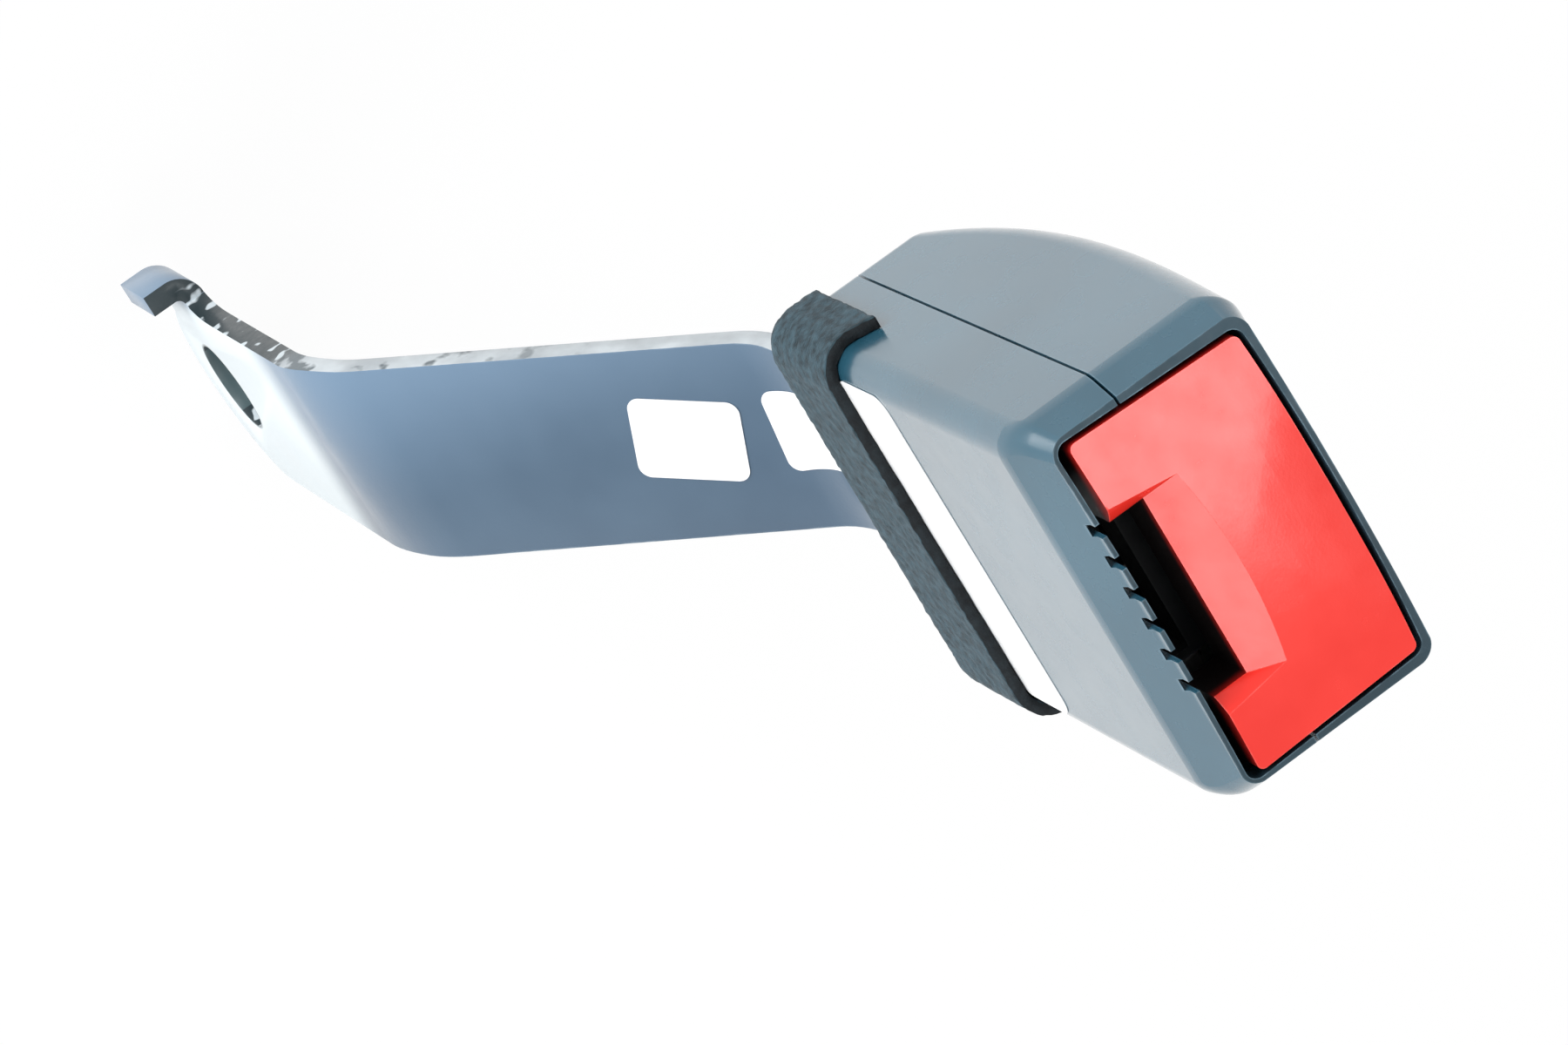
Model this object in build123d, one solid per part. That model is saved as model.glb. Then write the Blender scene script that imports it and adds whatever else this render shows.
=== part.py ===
from build123d import *
import math
import os

os.makedirs("parts", exist_ok=True)

# Seat belt buckle on a rigid, cranked steel anchor strap.
#
# Frame: the origin is the centre of the anchor bolt hole on the mounting face of the strap.
# +Z runs up the strap to the mouth of the buckle head, +Y away from the mounting face.
# The head is modelled in its own frame and then placed: x across the head, y from the side
# with the tongue slot to the side with the button's broad end, z towards the mouth.

# Place of the head's front in the frame of the part
HEAD_X = 19.0
HEAD_Y = 55.0
HEAD_Z = 200.0
HEAD = Pos(HEAD_X, HEAD_Y, HEAD_Z)

# Casing of the head
HEAD_WIDTH = 51.5
HEAD_LENGTH = 76.0
SLOT_FACE = -15.75
CROWN_PEAK = 15.9
CROWN_PEAK_Z = -36.0
REAR_HEIGHT = 7.6
WALL = 2.2
CROSS_RIB = 1.4
CROSS_RIB_INSET = 3.0
SPRING_RIB_Z = -48.0
SPRING_RIB_Y = 8.6
REAR_RIB_Z = -64.0
REAR_RIB_Y = 4.6
FRONT_CROWN = 1.8
SLOT_RIM = 0.6
CROWN_RIM = 1.1
SIDE_BEVEL = 4.5
SLOT_BEVEL = 7.5
BUTTON_BEVEL = 4.0
BUTTON_BEVEL_Y = 14.8
PARTING_Y = -3.5
PARTING_GAP = 0.35
LIP_HEIGHT = 1.5
LIP_WALL = 1.0
LIP_PLAY = 0.05
SLOT_EDGE_RADIUS = 3.4
CROWN_EDGE_RADIUS = 4.2
CROWN_FALL = 1.8
CROWN_FALL_Z = 0.72
REAR_EDGE_RADIUS = 3.0

# Opening in the front of the casing, and the button in it
OPENING_SLOT_HALF = 23.1
OPENING_CROWN_HALF = 22.3
OPENING_LOW = -12.3
OPENING_HIGH = 12.6
OPENING_BOW = 0.45
OPENING_RADIUS = 1.6
BUTTON_GAP = 0.7
BUTTON_LOW = -10.8
BUTTON_TRAVEL = 5.5
BUTTON_DEPTH = 9.0
BUTTON_WALL = 1.7
BUTTON_CAP = 3.0
BUTTON_PROUD = 0.25
BUTTON_SIDE_CROWN = 0.7
NOTCH_HALF = 12.05
NOTCH_TOP = -6.2
DISH_DEPTH = 2.3
DISH_TOP = 0.6
DISH_HALF_TOP = 13.4
DISH_HALF_LOW = 18.5
LEG_INNER = 17.2
LEG_OUTER = 20.2
LEG_LOW = -5.0
LEG_TOP = 2.6
LEG_END = -38.0

# Notches in the slot-side lip of the casing
LIP_NOTCHES = 6
LIP_NOTCH_PITCH = 4.25
LIP_NOTCH_SHIFT = -1.9
LIP_NOTCH_WIDTH = 1.6
LIP_NOTCH_DEPTH = 0.9
LIP_NOTCH_LENGTH = 4.0

# Anchor strap
STRAP_THICK = 3.0
PAD_WIDTH = 28.6
PAD_SHIFT = 1.5
STRAP_WIDTH = 27.2
STRAP_LOW = -11.1
CRANK_START = 52.0
CRANK_ANGLE = 45.0
ANCHOR_HOLE = 13.0
ANCHOR_BEND = 18.0
HEAD_BEND = 12.0
EDGE_ROUND = 30.0
OBLIQUE_START = -1.5
OBLIQUE_END = 66.5
STRAP_TIP = -62.0
STRAP_TIP_ROUND = 3.0
LUG_LOW = -6.5
LUG_HIGH = 5.0
LUG_REACH = 4.3
LUG_OUTER = 18.6
LUG_BEND = 1.0
LUG_FLARE = 9.0

# Latch frame and what it carries
FRAME_HALF = 15.5
FRAME_SHEET = 2.2
FRAME_FRONT = -9.0
FRAME_REAR = -72.0
FRAME_WALL_FRONT = -15.5
FRAME_WALL_REAR = -57.0
FRAME_WALL_TOP = 2.0
RIVET_X = 8.0
RIVET_Z = -66.5
RIVET_SHANK = 6.0
RIVET_HEAD = 9.0
RIVET_DOME = 2.2

# Pawl
PIVOT_Y = -1.5
PIVOT_Z = -50.0
PIN_RADIUS = 2.0
PIN_PLAY = 0.05
PAWL_HALF = 12.8
PAWL_BOSS = 3.6
PAWL_TOP = 0.5
PAWL_UNDER = -2.2
PAWL_WEB_FRONT = -34.0
PAWL_NOSE = -28.5
PAWL_NOSE_Y = -7.4
PAWL_HEEL_Y = -5.0
PAWL_FACE = 1.2
PRONG_INNER = 5.3
PRONG_OUTER = 8.5
PRONG_PLAY = 0.4

# Ejector
EJECTOR_HALF = 4.1
EJECTOR_FRONT = -26.0
EJECTOR_REAR = -46.0
EJECTOR_ROOF = -5.9
EJECTOR_WALL = 1.1
EJECTOR_TRAVEL = 12.0
SEAT_FRONT = -58.6

# Springs
SPRING_WIRE = 0.35
BUTTON_SPRING_RADIUS = 1.75
BUTTON_SPRING_X = 18.7
BUTTON_SPRING_Y = -1.2
BUTTON_SPRING_TURNS = 7
SPRING_STOP_Z = -56.4
SPRING_STOP_HALF = 2.5
SPRING_STOP_HIGH = 2.0
SPRING_STOP_THICK = 2.4
SPRING_STOP_RIB = 1.6
EJECTOR_SPRING_RADIUS = 1.5
EJECTOR_SPRING_TURNS = 10

# Lock slide and its pin
SLIDE_LOW = 2.6
SLIDE_THICK = 1.8
SLIDE_FRONT = -26.0
SLIDE_REAR = -37.0
LOCK_PIN_RADIUS = 1.3
LOCK_PIN_Z = -32.0

# Soft and small pieces
FELT = 1.6
FELT_FRONT = -63.5
FELT_TOP = -8.6
FELT_TIP = -55.0
GROMMET_HALF = 16.6
GROMMET_LOW = -12.7
GROMMET_HIGH = -6.5
GUIDE_FRONT = -16.0
GUIDE_REAR = -22.0
GUIDE_ROOF = -6.4
GUIDE_HALF = 12.3
PAD_OUTER = 21.5
PAD_TOP = -8.8

FLOOR_Y = SLOT_FACE + WALL
HALF_WIDTH = HEAD_WIDTH / 2
STRAP_FACE_Y = HEAD_Y + STRAP_LOW
STRAP_END = HEAD_Z + STRAP_TIP
CRANK_END = CRANK_START + STRAP_FACE_Y / math.tan(math.radians(CRANK_ANGLE))


def span(x0, x1, y0, y1, z0, z1):
    """A block between two corners."""
    block = Box(x1 - x0, y1 - y0, z1 - z0)
    return Pos((x0 + x1) / 2, (y0 + y1) / 2, (z0 + z1) / 2) * block


def side_face(*lines):
    """A face in the plane of a side view, drawn as y across and z up."""
    return Plane.YZ * make_face(Curve() + list(lines))


def crown_curve(inset):
    """The crowned back of the head, from the front bevel to the rear end."""
    return Spline(
        (BUTTON_BEVEL_Y - inset, -BUTTON_BEVEL),
        (CROWN_PEAK - inset, CROWN_PEAK_Z),
        (CROWN_PEAK - CROWN_FALL - inset, -CROWN_FALL_Z * HEAD_LENGTH),
        (REAR_HEIGHT - inset, inset - HEAD_LENGTH),
    )


def head_block(inset):
    """The casing's bevelled block before its edges are rounded: side view and plan crossed."""
    top = FRONT_CROWN + 1.0 - inset
    rim_low = OPENING_LOW - SLOT_RIM + inset
    rim_high = OPENING_HIGH + CROWN_RIM - inset
    low = SLOT_FACE + inset
    rear = inset - HEAD_LENGTH
    outline = Polyline(
        (REAR_HEIGHT - inset, rear),
        (low, rear),
        (low, -SLOT_BEVEL),
        (rim_low, 0),
        (rim_low, top),
        (rim_high, top),
        (rim_high, 0),
        (BUTTON_BEVEL_Y - inset, -BUTTON_BEVEL),
    )
    half = HALF_WIDTH - inset
    rim = OPENING_SLOT_HALF + SLOT_RIM - inset
    side = side_face(outline, crown_curve(inset))
    walls = Polyline((rim, 0), (half, -SIDE_BEVEL), (half, rear), (-half, rear), (-half, -SIDE_BEVEL), (-rim, 0))
    bow = ThreePointArc((-rim, 0), (0, FRONT_CROWN - inset), (rim, 0))
    plan = Plane.XZ * make_face(Curve() + [walls, bow])
    return extrude(Pos(-half, 0, 0) * side, 2 * half) & extrude(plan, HEAD_WIDTH, both=True)


def edges_along(form, side):
    """The long edges of a form on one side, which run from the front bevel to the rear."""
    runs = form.edges().filter_by(lambda e: abs((e @ 1).Z - (e @ 0).Z) > 0.8 * HEAD_LENGTH)
    return runs.filter_by(lambda e: side * e.center().Y > 0)


def head_form(inset=0.0):
    """The form of the casing, with every wall moved in by inset."""
    form = head_block(inset)
    form = fillet(edges_along(form, -1), max(SLOT_EDGE_RADIUS - inset, 1.0))
    form = fillet(edges_along(form, 1), max(CROWN_EDGE_RADIUS - max(inset, 0.0), 1.0))
    rear_edges = form.edges().filter_by(lambda e: e.center().Z < inset - HEAD_LENGTH + 0.1)
    return fillet(rear_edges, max(REAR_EDGE_RADIUS - max(inset, 0.0), 0.5))


def front_outline(clear, low):
    """Outline of the opening or the button: a little narrower and bowed at the broad end."""
    slot_half = OPENING_SLOT_HALF - clear
    crown_half = OPENING_CROWN_HALF - clear
    high = OPENING_HIGH - clear
    sides = Polyline((crown_half, high), (slot_half, low), (-slot_half, low), (-crown_half, high))
    bow = ThreePointArc((-crown_half, high), (0, high + OPENING_BOW), (crown_half, high))
    outline = make_face(Curve() + [sides, bow])
    return fillet(outline.vertices(), max(OPENING_RADIUS - clear, 0.4))


def lip_notches():
    """The row of small notches along the slot-side lip of the opening."""
    first = LIP_NOTCH_SHIFT - LIP_NOTCH_PITCH * (LIP_NOTCHES - 1) / 2
    cuts = []
    for i in range(LIP_NOTCHES):
        x = first + i * LIP_NOTCH_PITCH
        half = LIP_NOTCH_WIDTH / 2
        low = OPENING_LOW - LIP_NOTCH_DEPTH
        cuts.append(span(x - half, x + half, low, OPENING_LOW + 0.5, -LIP_NOTCH_LENGTH, FRONT_CROWN + 1))
    return cuts


def casing():
    """Both shells as one hollow form, open at the mouth and at the strap."""
    opening = extrude(Pos(0, 0, -2 * BUTTON_BEVEL) * front_outline(0.0, OPENING_LOW), 4 * BUTTON_BEVEL)
    outside = head_form()
    strap_way = span(-GROMMET_HALF, GROMMET_HALF, GROMMET_LOW, GROMMET_HIGH, -HEAD_LENGTH - 5, WALL - HEAD_LENGTH + 1)
    return outside - head_form(WALL) - opening - strap_way - lip_notches()


def lip_band(outer_inset, high):
    """The band inside the parting line where one shell's lip sits in the other's rebate."""
    slab = span(-HEAD_WIDTH, HEAD_WIDTH, PARTING_Y, high, -HEAD_LENGTH, FRONT_CROWN + 1)
    band = (head_form(outer_inset) - head_form(WALL)) & slab
    mouth = span(-HEAD_WIDTH, HEAD_WIDTH, -HEAD_WIDTH, HEAD_WIDTH, -2 * BUTTON_BEVEL, FRONT_CROWN + 2)
    return band - mouth


def spring_stop(side):
    """A ribbed post on the floor of the slot-side shell that the button's spring pushes against."""
    middle = side * BUTTON_SPRING_X
    back = SPRING_STOP_Z - SPRING_STOP_THICK
    x0 = middle - SPRING_STOP_HALF
    post = span(x0, x0 + 2 * SPRING_STOP_HALF, FLOOR_Y, SPRING_STOP_HIGH, back, SPRING_STOP_Z)
    rib = side_face(Polyline((FLOOR_Y, back), (BUTTON_SPRING_Y, back), (FLOOR_Y, back - 4.0), close=True))
    return post + extrude(Pos(middle - SPRING_STOP_RIB / 2, 0, 0) * rib, SPRING_STOP_RIB)


def slot_side_shell(case):
    """The shell on the side of the tongue slot, with the lip and the spring stops."""
    half = span(-HEAD_WIDTH, HEAD_WIDTH, -HEAD_WIDTH, PARTING_Y, -2 * HEAD_LENGTH, HEAD_WIDTH)
    shell = (case & half) + lip_band(WALL - LIP_WALL, PARTING_Y + LIP_HEIGHT)
    return shell + spring_stop(-1) + spring_stop(1)


def button_side_shell(case):
    """The crowned shell, with the rebate for the other shell's lip and two cross ribs."""
    half = span(-HEAD_WIDTH, HEAD_WIDTH, PARTING_Y + PARTING_GAP, HEAD_WIDTH, -2 * HEAD_LENGTH, HEAD_WIDTH)
    rebate = lip_band(WALL - LIP_WALL - LIP_PLAY, PARTING_Y + LIP_HEIGHT + LIP_PLAY)
    shell = (case & half) - rebate
    half_rib = HALF_WIDTH - CROSS_RIB_INSET
    for low, z in ((SPRING_RIB_Y, SPRING_RIB_Z), (REAR_RIB_Y, REAR_RIB_Z)):
        rib = span(-half_rib, half_rib, low, 2 * CROWN_PEAK, z, z + CROSS_RIB)
        shell += rib & head_form(WALL / 2)
    return shell


def dish():
    """The sloped recess that leads a thumb and the tongue down to the notch."""
    low = 2 * BUTTON_LOW
    top = FRONT_CROWN + 1.0
    foot = FRONT_CROWN - DISH_DEPTH
    mouth = make_face(Polyline(
        (-DISH_HALF_LOW, low), (-DISH_HALF_TOP, DISH_TOP), (DISH_HALF_TOP, DISH_TOP), (DISH_HALF_LOW, low), close=True
    ))
    throat = make_face(Polyline(
        (-NOTCH_HALF, low), (-NOTCH_HALF, NOTCH_TOP), (NOTCH_HALF, NOTCH_TOP), (NOTCH_HALF, low), close=True
    ))
    return loft([Pos(0, 0, foot) * throat, Pos(0, 0, top) * mouth], ruled=True)


def release_button():
    """The red button: a crowned cap with a skirt, the tongue notch and two legs."""
    outline = front_outline(BUTTON_GAP, BUTTON_LOW)
    top = FRONT_CROWN + BUTTON_PROUD
    cap = extrude(Pos(0, 0, -BUTTON_DEPTH) * outline, BUTTON_DEPTH + top)
    across = (OPENING_SLOT_HALF ** 2 + FRONT_CROWN ** 2) / (2 * FRONT_CROWN)
    tall = (OPENING_HIGH ** 2 + BUTTON_SIDE_CROWN ** 2) / (2 * BUTTON_SIDE_CROWN)
    cap &= Pos(0, 0, top - across) * Rot(90, 0, 0) * Cylinder(across, HEAD_WIDTH)
    cap &= Pos(0, 0, top - tall) * Rot(0, 90, 0) * Cylinder(tall, HEAD_WIDTH)
    notch = span(-NOTCH_HALF, NOTCH_HALF, 2 * BUTTON_LOW, NOTCH_TOP, -HEAD_LENGTH, HEAD_WIDTH)
    hollow = extrude(Pos(0, 0, -BUTTON_DEPTH) * offset(outline, -BUTTON_WALL), BUTTON_DEPTH - BUTTON_CAP)
    notch_half = NOTCH_HALF + BUTTON_WALL
    hollow -= span(-notch_half, notch_half, 2 * BUTTON_LOW, NOTCH_TOP + BUTTON_WALL, -HEAD_LENGTH, HEAD_WIDTH)
    button = cap - hollow - notch - dish()
    for side in (-1, 1):
        button += button_leg(side)
    return button


def button_leg(side):
    """A leg of the button, with the spigot that its spring sits on."""
    x0, x1 = sorted((side * LEG_INNER, side * LEG_OUTER))
    leg = span(x0, x1, LEG_LOW, LEG_TOP, LEG_END, -BUTTON_CAP)
    leg = fillet(leg.edges().filter_by(Axis.X).group_by(Axis.Z)[0], 1.2)
    spigot = Cylinder(BUTTON_SPRING_RADIUS - SPRING_WIRE - 0.25, 3.0)
    return leg + Pos(side * BUTTON_SPRING_X, BUTTON_SPRING_Y, LEG_END - 1.4) * spigot


def coil(radius, turns, low, high):
    """A compression spring standing along z between two seats."""
    pitch = (high - low - 2 * SPRING_WIRE) / turns
    helix = Helix(pitch, high - low - 2 * SPRING_WIRE, radius)
    section = Plane(helix @ 0, z_dir=helix % 0) * Circle(SPRING_WIRE)
    return Pos(0, 0, low + SPRING_WIRE) * sweep(section, path=helix, is_frenet=True)


def button_spring(side):
    """The spring under one leg of the button."""
    spring = coil(BUTTON_SPRING_RADIUS, BUTTON_SPRING_TURNS, SPRING_STOP_Z, LEG_END)
    return Pos(side * BUTTON_SPRING_X, BUTTON_SPRING_Y, 0) * spring


def latch_frame():
    """The pressed steel channel that carries the pawl, with its floor under the tongue."""
    outer = extrude(Plane.XY.offset(FRAME_REAR) * make_face(Polyline(
        (-FRAME_HALF, FRAME_WALL_TOP), (-FRAME_HALF, FLOOR_Y), (FRAME_HALF, FLOOR_Y), (FRAME_HALF, FRAME_WALL_TOP),
        close=True,
    )), FRAME_FRONT - FRAME_REAR)
    outer = fillet(outer.edges().filter_by(Axis.Z).group_by(Axis.Y)[0], 1.0)
    inner = FRAME_HALF - FRAME_SHEET
    channel = span(-inner, inner, STRAP_LOW, HEAD_WIDTH, 2 * FRAME_REAR, HEAD_WIDTH)
    wall = extrude(Pos(-HALF_WIDTH, 0, 0) * side_face(Polyline(
        (FLOOR_Y - 1, FRAME_REAR - 1),
        (STRAP_LOW, FRAME_REAR - 1),
        (STRAP_LOW, FRAME_WALL_REAR - 4),
        (FRAME_WALL_TOP, FRAME_WALL_REAR),
        (FRAME_WALL_TOP, FRAME_WALL_FRONT - 5),
        (STRAP_LOW + 5, FRAME_WALL_FRONT),
        (STRAP_LOW, FRAME_WALL_FRONT),
        (STRAP_LOW, FRAME_FRONT + 1),
        (FLOOR_Y - 1, FRAME_FRONT + 1),
        close=True,
    )), HEAD_WIDTH)
    frame = (outer - channel) & wall
    pivot = Pos(0, PIVOT_Y, PIVOT_Z) * Rot(0, 90, 0) * Cylinder(PIN_RADIUS, HEAD_WIDTH)
    frame -= pivot
    for side in (-1, 1):
        x0, x1 = sorted((side * (PRONG_INNER - PRONG_PLAY), side * (PRONG_OUTER + PRONG_PLAY)))
        frame -= span(x0, x1, 2 * FLOOR_Y, STRAP_LOW + 1, -38.5, -27.0)
        frame -= rivet_hole(side)
    return frame


def rivet_hole(side):
    """The hole for one rivet, countersunk on the under side of the frame."""
    hole = Cylinder(RIVET_SHANK / 2, HEAD_WIDTH)
    sink = Pos(0, 0, FLOOR_Y + 0.6) * Cone(RIVET_SHANK / 2 + 1.2, RIVET_SHANK / 2, 1.2)
    return Pos(side * RIVET_X, 0, RIVET_Z) * Rot(-90, 0, 0) * (hole + sink)


def frame_rivets():
    """Two rivets that join the strap to the frame: a dome, a shank and a flush foot."""
    shank = RIVET_SHANK / 2
    strap_top = STRAP_LOW + STRAP_THICK
    dome_top = (0, strap_top + RIVET_DOME)
    foot = [(shank, strap_top), (shank, FLOOR_Y + 1.2), (shank + 1.2, FLOOR_Y), (0, FLOOR_Y), dome_top]
    rim = (RIVET_HEAD / 2, strap_top)
    arc = ThreePointArc(dome_top, (RIVET_HEAD / 2 * 0.62, strap_top + RIVET_DOME * 0.72), rim)
    profile = Plane.XZ * make_face(Curve() + [Polyline(rim, *foot), arc])
    rivet = Rot(-90, 0, 0) * revolve(profile, Axis.Z)
    return [Pos(side * RIVET_X, 0, RIVET_Z) * rivet for side in (-1, 1)]


def pawl_pin():
    """The pin that the pawl turns on, staked in both walls of the frame."""
    return Pos(0, PIVOT_Y, PIVOT_Z) * Rot(0, 90, 0) * Cylinder(PIN_RADIUS, 2 * FRAME_HALF + 0.8)


def latch_pawl():
    """The pawl: a plate on its pin with two prongs that drop through the tongue's window."""
    edge = PIVOT_Y - PAWL_BOSS
    heel = ThreePointArc((edge, PIVOT_Z), (PIVOT_Y, PIVOT_Z - PAWL_BOSS), (PIVOT_Y + PAWL_BOSS, PIVOT_Z))
    top = [(PIVOT_Y + PAWL_BOSS, PIVOT_Z), (PAWL_TOP, PIVOT_Z + 5.0)]
    plate = Polyline(*top, (PAWL_TOP, PAWL_WEB_FRONT), (PAWL_UNDER, PAWL_WEB_FRONT), (PAWL_UNDER, PIVOT_Z + 12.0), (edge, PIVOT_Z))
    prong = Polyline(
        *top,
        (PAWL_TOP, PAWL_NOSE - PAWL_FACE),
        (PAWL_TOP - PAWL_FACE, PAWL_NOSE),
        (PAWL_NOSE_Y, PAWL_NOSE - PAWL_FACE),
        (PAWL_NOSE_Y, PAWL_NOSE - 3.2 * PAWL_FACE),
        (PAWL_HEEL_Y, PAWL_NOSE - 4.4 * PAWL_FACE),
        (PAWL_HEEL_Y, PIVOT_Z + 2.0),
        (edge, PIVOT_Z),
    )
    pawl = extrude(Pos(-PAWL_HALF, 0, 0) * side_face(plate, heel), 2 * PAWL_HALF)
    for side in (-1, 1):
        x0 = min(side * PRONG_INNER, side * PRONG_OUTER)
        pawl += extrude(Pos(x0, 0, 0) * side_face(prong, heel), PRONG_OUTER - PRONG_INNER)
    return pawl - Pos(0, PIVOT_Y, PIVOT_Z) * Rot(0, 90, 0) * Cylinder(PIN_RADIUS + PIN_PLAY, HEAD_WIDTH)


def pawl_spring():
    """The leaf spring that rests on the pawl, hooked over a bar of the button-side shell."""
    leaf = side_face(
        Polyline((0.6, -41.0), (1.1, -40.8), (3.4, -46.0), (11.0, -46.0), (11.0, -46.6), (3.0, -46.6), close=True)
    )
    return extrude(Pos(-4, 0, 0) * leaf, 8)


def ejector():
    """The ejector: a slider that pushes the tongue out, hollow for its spring."""
    block = span(-EJECTOR_HALF, EJECTOR_HALF, STRAP_LOW + 0.1, EJECTOR_ROOF, EJECTOR_REAR, EJECTOR_FRONT)
    block = fillet(block.edges().filter_by(Axis.Y).group_by(Axis.Z)[-1], 1.2)
    half = EJECTOR_HALF - EJECTOR_WALL
    pocket = span(-half, half, 2 * STRAP_LOW, EJECTOR_ROOF - EJECTOR_WALL, 2 * EJECTOR_REAR, EJECTOR_FRONT - 2.5)
    return block - pocket


def ejector_spring():
    """The spring inside the ejector, between its front wall and the spring seat."""
    spring = coil(EJECTOR_SPRING_RADIUS, EJECTOR_SPRING_TURNS, SEAT_FRONT, EJECTOR_FRONT - 2.5)
    return Pos(0, STRAP_LOW + 2.0, 0) * spring


def spring_seat():
    """The moulded seat clipped to the frame in front of the strap."""
    block = span(-6.5, 6.5, STRAP_LOW, -6.6, STRAP_TIP + 0.4, SEAT_FRONT)
    return fillet(block.edges().filter_by(Axis.Z).group_by(Axis.Y)[-1], 1.2)


def lock_slide():
    """The steel slide that the button carries, with a groove that holds the lock pin."""
    plate = span(-LEG_OUTER, LEG_OUTER, SLIDE_LOW, SLIDE_LOW + SLIDE_THICK, SLIDE_REAR, SLIDE_FRONT)
    plate = fillet(plate.edges().filter_by(Axis.Y), 1.5)
    window = span(-5, 5, 0, HEAD_WIDTH, SLIDE_REAR - 1, SLIDE_REAR + 3.5)
    return plate - window - lock_pin()


def lock_pin():
    """The round pin under the lock slide that holds the pawl down."""
    return Pos(0, SLIDE_LOW - 0.3, LOCK_PIN_Z) * Rot(0, 90, 0) * Cylinder(LOCK_PIN_RADIUS, 24)


def tongue_guide():
    """The moulded bridge over the frame's floor that leads the tongue in."""
    inner = FRAME_HALF - FRAME_SHEET
    block = span(-inner, inner, STRAP_LOW, GUIDE_ROOF + 2.2, GUIDE_REAR, GUIDE_FRONT)
    way = span(-GUIDE_HALF, GUIDE_HALF, 2 * STRAP_LOW, GUIDE_ROOF, 2 * GUIDE_REAR, 0)
    bridge = block - way
    return chamfer(bridge.edges().filter_by(Axis.X).group_by(Axis.Z)[-1].group_by(Axis.Y)[0], 0.9)


def felt_wrap():
    """The strip of felt round the rear edge of the slot-side shell."""
    low = -HEAD_WIDTH
    zone = side_face(Polyline(
        (low, -2 * HEAD_LENGTH),
        (low, FELT_FRONT),
        (SLOT_FACE + 2, FELT_FRONT),
        (FELT_TOP - 0.8, FELT_TIP),
        (FELT_TOP, FELT_TIP - 3),
        (FELT_TOP, -2 * HEAD_LENGTH),
        close=True,
    ))
    strip = (head_form(-FELT) - head_form()) & extrude(Pos(-HEAD_WIDTH, 0, 0) * zone, 2 * HEAD_WIDTH)
    strap_way = span(-GROMMET_HALF - 1.5, GROMMET_HALF + 1.5, GROMMET_LOW - 0.4, 0, -2 * HEAD_LENGTH, -HEAD_LENGTH)
    far_tip = span(0, HEAD_WIDTH, -HEAD_WIDTH, 0, FELT_FRONT, 0)
    return strip - strap_way - far_tip


def strap_grommet():
    """The moulded collar that closes the rear wall round the strap."""
    sleeve = span(-GROMMET_HALF, GROMMET_HALF, GROMMET_LOW, GROMMET_HIGH, -HEAD_LENGTH - 1.5, WALL - HEAD_LENGTH)
    flange = span(
        -GROMMET_HALF - 1, GROMMET_HALF + 1, GROMMET_LOW, GROMMET_HIGH + 1.0, WALL - HEAD_LENGTH, FRAME_REAR
    )
    return sleeve + flange - strap_section(-2 * HEAD_LENGTH, 0)


def frame_pad(side):
    """A foam block that keeps the frame from rattling in the casing."""
    x0, x1 = sorted((side * FRAME_HALF, side * PAD_OUTER))
    return span(x0, x1, FLOOR_Y, PAD_TOP, FRAME_REAR, SPRING_STOP_Z - 7.0)


def strap_section(low, high):
    """A straight length of the strap where it lies in the head."""
    half = STRAP_WIDTH / 2
    return span(-half, half, STRAP_LOW, STRAP_LOW + STRAP_THICK, low, high)


def strap_ribbon():
    """The cranked sheet of the strap, left wide so that its outline can be cut from it."""
    reach = 3 * PAD_WIDTH
    middle = STRAP_THICK / 2
    shift = middle * math.tan(math.radians(CRANK_ANGLE / 2))
    path = Plane.YZ * FilletPolyline(
        (middle, -PAD_WIDTH),
        (middle, CRANK_START - shift),
        (middle + STRAP_FACE_Y, CRANK_END - shift),
        (middle + STRAP_FACE_Y, STRAP_END),
        radius=[ANCHOR_BEND, HEAD_BEND],
    )
    section = Plane(path @ 0, x_dir=(1, 0, 0), z_dir=path % 0) * Rectangle(2 * reach, STRAP_THICK)
    return sweep(section, path=path)


def strap_edge(side):
    """One edge of the web's outline: along the pad, obliquely to the head's middle, and on."""
    reach = 5 * PAD_WIDTH
    pad_x = PAD_SHIFT + side * PAD_WIDTH / 2
    head_x = HEAD_X + side * STRAP_WIDTH / 2
    lean = math.atan((HEAD_X - PAD_SHIFT) / (OBLIQUE_END - OBLIQUE_START))
    kink = -side * STRAP_WIDTH / 2 * math.tan(lean / 2)
    return [(pad_x, -reach), (pad_x, OBLIQUE_START + kink), (head_x, OBLIQUE_END + kink), (head_x, reach)]


def strap_outline():
    """The strap's outline, cut square to its web, as a tall block."""
    crank = math.radians(CRANK_ANGLE)
    outline = make_face(Polyline(*strap_edge(-1), *reversed(strap_edge(1)), close=True))
    kinks = outline.vertices().filter_by(lambda v: abs(v.Y) < 2 * OBLIQUE_END)
    outline = fillet(kinks, EDGE_ROUND)
    web_plane = Plane((0, 0, CRANK_START), x_dir=(1, 0, 0), z_dir=(0, -math.cos(crank), math.sin(crank)))
    return extrude(web_plane * outline, 4 * PAD_WIDTH, both=True)


def pad_end():
    """The round end of the anchor pad, as a block that keeps all the strap above it."""
    half = PAD_WIDTH / 2
    reach = 4 * PAD_WIDTH
    sides = Polyline((half, 0), (reach, 0), (reach, 2 * HEAD_Z), (-reach, 2 * HEAD_Z), (-reach, 0), (-half, 0))
    end = ThreePointArc((-half, 0), (0, -half), (half, 0))
    return extrude(Pos(PAD_SHIFT, 0, 0) * Plane.XZ * make_face(Curve() + [sides, end]), 2 * HEAD_Y, both=True)


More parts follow.
